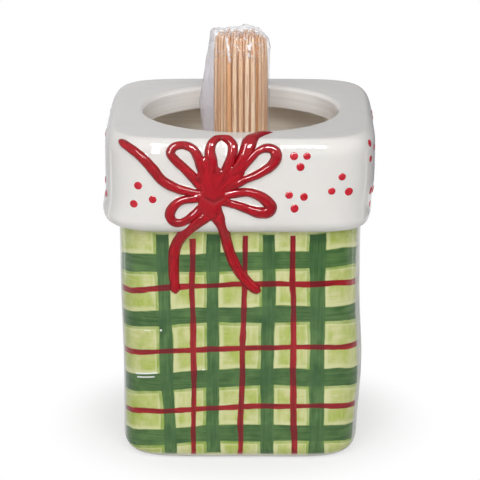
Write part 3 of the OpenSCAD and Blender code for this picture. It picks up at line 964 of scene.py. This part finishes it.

# %% [markdown]
# ## Painted plaid
#
# The box was painted by hand: first a streaky yellow-green wash, then broad green bands,
# each over a brighter yellow-green one that shows at its edges, and last thin red lines.
# The paint is sheer, so where two strokes cross, the colour deepens. Each side was painted
# by itself, so a narrow pale strip is left beside the corners; its grey, darker than bare
# glaze, is a painted reflection. A few white streaks and specks on the front are painted
# highlights. One group draws one stroke from its middle line, lean, bend, width and ends.
# It runs up the box with height as `Along`, or round it with height as `Across`.

# %% Group for one brush stroke
stroke, into, out = new_group(
    "paint stroke",
    ["Across", "Along", "Middle", "Lean", "Bend", "Half Width", "Low End", "High End"],
    ["Paint", "Under", "Halo"])
across, along, middle_at, lean, bend, half_width, low_end, high_end = into
offset = across - (along * along * bend + (along * lean + middle_at))
past_end = (low_end - along) | (along - high_end)
edge = (abs(offset) - half_width) | past_end
under_edge = (abs(offset + 0.22) - half_width) | past_end
fill(out, Paint=between(edge, 0.10, -0.05), Under=between(under_edge, 0.42, 0.22),
     Halo=between(edge, 1.1, 0.45))

# %% Strokes of the plaid, read from the photograph
# Middle at half height, or at the middle of the side, then lean, bend, half width, ends.
green_uprights = [(-12.3, -0.0306, 0, 1.08, 1.2, 42.7), (-4.6, -0.0013, 0, 1.2, 1.4, 42.7),
                  (5.0, 0.0053, 0, 1.15, 1.2, 42.7), (13.9, -0.004, 0, 1.35, 1.2, 42.6)]
green_levels = [(37.65, 0.030, 0.0004, 1.62, -40, 40), (27.8, 0.025, -0.00125, 1.42, -40, 40),
                (16.0, 0.029, -0.0019, 1.6, -40, 40), (5.55, 0.024, -0.0022, 1.5, -40, 40)]
red_uprights = [(-8.1, -0.0053, 0, 0.45, 0.8, 41.8), (0.05, 0.028, 0, 0.47, 0.8, 42.6),
                (9.83, -0.0106, 0, 0.48, 0.8, 42.5)]
red_levels = [(33.5, 0.035, -0.00225, 0.50, -40, 40), (21.6, 0.030, -0.00125, 0.48, -40, 40),
              (10.4, 0.0275, -0.0014, 0.47, -40, 40)]
# Painted highlights: white streaks and specks on the front, where the glaze catches light.
glaze_glint_rows = [(18.66, 0.139, 0, 0.10, -18.6, -14.7), (17.83, 0.13, 0, 0.08, -18.3, -15.2),
              (24.7, 0, 0, 0.14, -14.1, -13.8), (24.5, 0, 0, 0.02, -16.9, -15.9),
              (19.3, 0.3, 0, 0.06, -6.6, -6.2)]


def strokes(rows, across, along):
    """All the strokes of one kind, laid over each other."""
    masks = {}
    for middle_at, lean, bend, half_width, low_end, high_end in rows:
        node = use_group(across.tree, stroke, Across=across, Along=along, Middle=middle_at,
                         Lean=lean, Bend=bend, Half_Width=half_width, Low_End=low_end,
                         High_End=high_end)
        for label in ("Paint", "Under", "Halo"):
            mask = Result(node, label)
            masks[label] = masks[label] | mask if label in masks else mask
    return masks


def drift(position, slow, quick, seed):
    """How far a hand's stroke wanders from its line, by a slow noise and a quick one."""
    return (cloud(stretched(position, *quick), 1, 1, seed + 1) * 0.22
            + (cloud(stretched(position, *slow), 1, 1, seed) * 1.1 - 0.55))


# %% Lines that the strokes follow
plaid, tree, shader, position = new_material("painted_plaid")
x, y, z = split(position)
wide, deep = abs(x), abs(y)
x_sign, y_sign = x.math("SIGN"), y.math("SIGN")
on_side = wide > deep
front_way = x * (y_sign * -1)
across = mix_values(on_side, front_way, y * (x_sign * -1))
across_drawn = across + drift(position, (0.35, 0.35, 0.10), (3.0, 3.0, 0.5), 11)
height_drift = drift(position, (0.10, 0.10, 0.35), (0.5, 0.5, 3.0), 13)
turned_in = mix_values(deep > 15.5, wide, deep) * -1 + 21.4
sag = x_sign * -0.035 + 0.165
height_drawn = turned_in * sag + (z + height_drift)
green_up = strokes(green_uprights, across_drawn, height_drawn)
green_round = strokes(green_levels, height_drawn, across_drawn)
red_up = strokes(red_uprights, across_drawn, height_drawn)
red_round = strokes(red_levels, height_drawn, across_drawn)

# %% Wash under the strokes
bristle_up = cloud(stretched(position, 2.6, 2.6, 0.14), 1, 3, 15, 0.6)
bristle_round = cloud(stretched(position, 0.14, 0.14, 2.6), 1, 3, 16, 0.6)
patch = cloud(stretched(position, 0.28, 0.28, 0.22), 1, 3, 17, 0.6)
wash = blend_colours(between(patch, 0.35, 0.68), colour(208, 208, 154), colour(164, 180, 80))
way = between(cloud(position, 0.16, 1, 18), 0.46, 0.54)
bristle = mix_values(way, bristle_up, bristle_round)
wash = blend_colours(between(bristle, 0.4, 0.75), wash, colour(184, 194, 108))
halo = green_up["Halo"] | green_round["Halo"]
ground = blend_colours(halo * 0.6, wash, colour(214, 215, 168))
under = green_up["Under"] | green_round["Under"]
cover_share = mix_values(between(patch, 0.4, 0.65), 0.5, 0.9)
ground = blend_colours(under * cover_share, ground, colour(128, 158, 52))

# %% Green and red strokes
mottle = cloud(position, 0.35, 2, 19) * 0.9 - 0.45
up_green = blend_colours(between(bristle_up + mottle, 0.1, 0.9), colour(44, 84, 40),
                         colour(92, 126, 72))
blunt_end = between(z, 40.6, 41.8) * 0.7
up_green = blend_colours(blunt_end, up_green, colour(36, 74, 34))
round_green = blend_colours(between(bristle_round + mottle, 0.1, 0.9), colour(42, 82, 38),
                            colour(90, 124, 68))
painted = blend_colours(green_round["Paint"], ground, round_green)
painted = blend_colours(green_up["Paint"], painted, up_green)
crossing = green_up["Paint"] * green_round["Paint"]
painted = blend_colours(crossing * 0.4, painted, colour(56, 92, 54))
red_streak = mix_values(red_up["Paint"], bristle_round, bristle_up)
red_colour = blend_colours(between(red_streak, 0.3, 0.7), colour(116, 6, 14),
                           colour(168, 24, 32))
any_green = green_up["Paint"] | green_round["Paint"]
red_colour = blend_colours(any_green * 0.62, red_colour, colour(86, 8, 16))
painted = blend_colours(red_up["Paint"] | red_round["Paint"], painted, red_colour)

# %% Bare strips, painted highlights and bare inside
# Painted reflection: the bare strips beside the corners get a grey darker than bare glaze, for
# the grey that the turning edge mirrors.
ragged = deep + height_drift + (x_sign * -0.65 + 0.65)
strip = between(ragged, 15.7, 16.1) * between(ragged, 17.9, 17.3) * on_side
painted = blend_colours(strip * 0.85, painted, colour(188, 187, 182))
# Painted highlights: the white streaks and specks are laid over the paint.
runs = strokes(glaze_glint_rows, z, front_way)["Paint"]
painted = blend_colours(runs * 0.9, painted, colour(250, 250, 250))
outside = between(wide | deep, 18.0, 18.5) * between(z, 0.5, 1.5)
fill(shader, Base_Color=blend_colours(outside, colour(222, 218, 210), painted))
glazed(shader, position, ripple=0.05, pinholes=0.05)
box_walls.data.materials.append(plaid)

# %% [markdown]
# ## Red slip and red paint
#
# The bow's red is thick and glossy. It is darker along the edges of the line and streaked
# along the stroke, and the knot's fold is darkened with a painted shade. The material reads
# the line's own UV map: across the stroke for the edges, along it for the streaks.

# %% Red slip of the bow
red_slip, tree, shader, position = new_material("red_slip")
along, across, _ = split(Result(add(tree, "UVMap", uv_map="stroke")))
from_middle = cloud(position, 1.2, 2, 21) * 0.10 + (abs(across) - 0.05)
streak_at = Result(add(tree, "CombineXYZ", along * 300, across, 0))
streak = cloud(streak_at, 2.2, 3, 22, 0.6)
from_knot = distance(position, -4.7, -24.3, 49.6)
streak = mix_values(between(from_knot, 1.5, 3.2), 0.55, streak)
body_red = blend_colours(between(streak, 0.3, 0.75), colour(136, 4, 18), colour(184, 12, 30))
body_red = blend_colours(between(from_middle, 0.88, 1.04), body_red, colour(134, 4, 18))
x, y, z = split(position)
# Painted shade: the red is darkened along the knot's fold.
aside = abs(x - fold_x)
from_fold = abs(aside * -fold_slope + (z - (box_h + fold_s)))
fold_shade = between(from_fold, 0.6, 0.0) * between(aside, 2.4, 1.0)
body_red = blend_colours(fold_shade * 0.55, body_red, colour(96, 4, 14))
is_paint = between(from_middle, 1.24, 1.17)
fill(shader, Base_Color=blend_colours(is_paint, colour(224, 219, 215), body_red),
     Specular_IOR_Level=0.32)
glazed(shader, position, ripple=0.05, pinholes=0)
for line in bow_lines + [knot]:
    line.data.materials.append(red_slip)

# %% Red of the dots
red_paint, tree, shader, position = new_material("red_dots")
blotch = between(cloud(position, 0.9, 3, 25, 0.6), 0.35, 0.7)
fill(shader, Base_Color=blend_colours(blotch, colour(182, 18, 36), colour(204, 44, 58)),
     Specular_IOR_Level=0.3)
glazed(shader, position, ripple=0.02, pinholes=0)
for piece in dot_pieces:
    piece.data.materials.append(red_paint)

# %% [markdown]
# ## Wood
#
# Birch is pale and straight grained. The grain runs the length of the pick, so the noise
# is stretched along Z, and each pick's tone moves it between honey and cream. Where a pick
# turns away from view it gets a painted shade, for the gaps between the picks.

# %% Birch
birch, tree, shader, position = new_material("birch")
tone = Result(add(tree, "Attribute", attribute_name="tone"), "Color")
red_part, green_part, blue_part = split(tone, "SeparateColor")
grain_at = add(tree, "VectorMath", stretched(position, 5, 5, 0.10), tone, operation="ADD")
grain = cloud(Result(grain_at), 1.0, 4, 31, 0.65)
pale = blend_colours(green_part, colour(244, 204, 160), colour(248, 220, 188))
deep_tone = blend_colours(blue_part, colour(236, 180, 124), colour(222, 156, 96))
wood = blend_colours(between(red_part, 0.45, 0.95), pale, deep_tone)
wood = blend_colours(between(grain, 0.46, 0.66), wood, colour(198, 130, 76))
# Painted shade: the sides of each pick are darkened, for the shade of its neighbours.
facing = Result(add(tree, "LayerWeight", 0.5), "Facing")
wood = blend_colours(between(facing, 0.35, 1.0), wood, colour(168, 100, 54))
fill(shader, Base_Color=wood, Roughness=grain * 0.2 + 0.5, Normal=bump(grain, 0.04 * mm))
for piece in pick_rows:
    piece.data.materials.append(birch)

# %% [markdown]
# ## Clear film
#
# Thin film lets nearly all light through where it is seen face on, and turns milky where
# it is seen edge on or lies double. So its alpha follows Layer Weight, and the flat pleat
# on the left is half opaque. The milky white at a slant is partly a painted reflection. The
# white crinkles near the top and in the pleat, and the sharp white creases drawn with the
# same group as the brush strokes, are painted highlights. A film this thin throws no shadow
# worth the noise.

# %% Clear film
clear_film, tree, shader, position = new_material("clear_film")
x, y, z = split(position)
crease = cloud(stretched(position, 0.9, 0.9, 0.25), 1, 3, 41, 0.6)
folds = cloud(stretched(position, 1.3, 1.3, 0.8), 1, 2, 42)
ridge = between(abs(folds - 0.5), 0.018, 0.004)
at_top = between(z, 66.5, 71.5)
pleat = between(x, -4.75, -5.05)
# Painted highlights: white creases where the film catches light near the top.
film_glint_rows = [(6.95, -0.131, 0, 0.20, 68.3, 72.7), (-22.9, 0.345, 0, 0.22, 70.9, 71.9),
           (19.6, -0.256, 0, 0.26, 70.4, 71.6), (11.3, -0.142, 0, 0.16, 69.2, 70.0)]
wander = cloud(position, 1.6, 2, 43) * 0.5 - 0.25
lines = strokes(film_glint_rows, x + wander, z + wander * 2)["Paint"] * between(y, 5.5, 4.5)
# Painted highlights: the crinkles at the top and in the pleat, and the creases, turn white.
cover_share = ridge * (at_top | pleat * 0.35) | lines
# Alpha grows where the film is seen at a slant: partly more film in the way, partly a painted
# reflection.
facing = Result(add(tree, "LayerWeight", 0.35), "Facing")
alpha = between(crease, 0.55, 0.75) * 0.06 + (facing ** 2 * 0.6 + 0.03)
alpha = alpha | pleat * 0.55 | cover_share * 0.8
fill(shader, Base_Color=blend_colours(cover_share, colour(226, 223, 233), colour(250, 249, 252)),
     Alpha=alpha, Roughness=crease * 0.1 + 0.04, Normal=bump(crease, 0.5 * mm))
film_sleeve.data.materials.append(clear_film)

# %% [markdown]
# ## Stage and light
#
# The photograph was taken on white. The floor is pale and keeps the soft shadow under
# the box, and further out it turns to plain white for the camera and for reflections.
# A big soft box stands high in front with a lower one on each side of it, and the world
# fills in from all round. These give the colours. What a glossy glaze shows is set apart
# from them, by lamps that only reflections see: one faint sheen and three small glints.

# %% Floor
floor_shape = bmesh.new()
bmesh.ops.create_grid(floor_shape, x_segments=2, y_segments=2, size=1.5)
floor = finish_mesh(floor_shape, "floor", smooth=False)
floor_white, tree, shader, position = new_material("floor_white")
fill(shader, Base_Color=(0.75, 0.75, 0.75, 1), Roughness=0.8, Specular_IOR_Level=0)
x, y, z = split(position)
from_foot = distance(position, 0, 0, 0)
faded = mix_values(between(from_foot, 20, 38), 0.6, 1.0)
near = faded * rays(tree, "Camera", "Transmission")
far = (between(from_foot, 100, 140) | between(y, -22, -8) * 0.5) * rays(tree, "Glossy")
white = add(tree, "Emission", (1, 1, 1, 1), 1.0)
both = add(tree, "MixShader", near | far, Result(shader), Result(white))
fill(tree.nodes["Material Output"], Surface=Result(both))
floor.data.materials.append(floor_white)

# %% World and lamps
world = bpy.data.worlds.new("world")
bpy.context.scene.world = world
world.use_nodes = True
tree = world.node_tree
seen = rays(tree, "Camera", "Glossy", "Transmission")
fill(tree.nodes["Background"], Color=(1, 1, 1, 1), Strength=mix_values(seen, 0.25, 1.0))


def soft_box(name, azimuth, elevation, distance, width, height, glow, on_colour=True):
    """A soft box at a direction from the lid's front, as seen round the object in degrees:
    0 is in front, 90 to the right and 180 behind. glow is how bright its face is. It
    lights the colours, or else it is only seen in reflections."""
    lamp = bpy.data.objects.new(name, bpy.data.lights.new(name, "AREA"))
    lamp.data.shape = "RECTANGLE"
    lamp.data.size, lamp.data.size_y = width, height
    lamp.data.energy = glow * math.pi * width * height
    turn, rise = math.radians(azimuth), math.radians(elevation)
    back = Vector((math.sin(turn) * math.cos(rise), -math.cos(turn) * math.cos(rise),
                   math.sin(rise)))
    lamp.location = Vector((0, 0, 0.045)) + back * distance
    lamp.rotation_euler = back.to_track_quat("Z", "Y").to_euler()
    lamp.visible_camera = False
    lamp.visible_diffuse = on_colour
    lamp.visible_glossy = not on_colour
    bpy.context.scene.collection.objects.link(lamp)
    print("lamp:", name)


soft_box("soft_box_top", 2, 48, 1.3, 0.90, 0.80, 5.0)
soft_box("soft_box_left", -32, 28, 1.3, 0.60, 0.60, 2.5)
soft_box("soft_box_right", 28, 28, 1.3, 0.60, 0.60, 1.4)
soft_box("sheen_top", 2, 48, 1.3, 0.90, 0.80, 1.2, on_colour=False)
soft_box("glint_left", -15, 19, 1.2, 0.06, 0.74, 95, on_colour=False)
soft_box("glint_left_top", -17, 39, 1.2, 0.20, 0.12, 70, on_colour=False)
soft_box("glint_right", 9, 30, 1.2, 0.32, 0.22, 60, on_colour=False)

# %% [markdown]
# A glossy white pot on white paper loses its edges, because they mirror the paper. So a
# photographer stands grey card round it, just outside the picture. Here it is one ring,
# high behind and low in front, made by spinning an upright edge. Only reflections see it.
# Strips of white on the card draw the bright lines at the corners of the band.

# %% Grey card
card_r, card_back, card_front = 0.11, 0.40, 0.045
card = bmesh.new()
post = [card.verts.new((0, card_r, 0)), card.verts.new((0, card_r, card_back))]
post.append(card.edges.new(post))
bmesh.ops.spin(card, geom=post, cent=(0, 0, 0), axis=(0, 0, 1), angle=2 * math.pi, steps=48,
               use_merge=True)
for point in card.verts:
    if point.co.z > 0:
        share = min(1, max(0, (point.co.y / card_r + 0.1) / 0.5))
        point.co.z = mixed(share, card_front, card_back)
grey_card = finish_mesh(card, "grey_card")
card_grey, tree, shader, position = new_material("card_grey")
x, y, z = split(position)
tone = blend_colours(between(x, -60, 60), (0.70, 0.70, 0.72, 1), (0.28, 0.28, 0.31, 1))
angle = x.math("ARCTAN2", y * -1).math("DEGREES")
foot_white = between(z, 17, 12) * between(abs(angle), 60, 80)
tone = blend_colours(foot_white, tone, (1, 1, 1, 1))
for strip_angle in (-115, 101):
    strip = between(abs(angle - strip_angle), 7, 0) * between(z, 60, 20)
    tone = blend_colours(strip, tone, (2.2, 2.2, 2.2, 1))
fill(shader, Base_Color=(0, 0, 0, 1), Specular_IOR_Level=0, Emission_Color=tone,
     Emission_Strength=1)
grey_card.data.materials.append(card_grey)
for ray in ("camera", "diffuse", "shadow", "transmission"):
    setattr(grey_card, "visible_" + ray, False)
bpy.context.scene.view_settings.view_transform = "Standard"
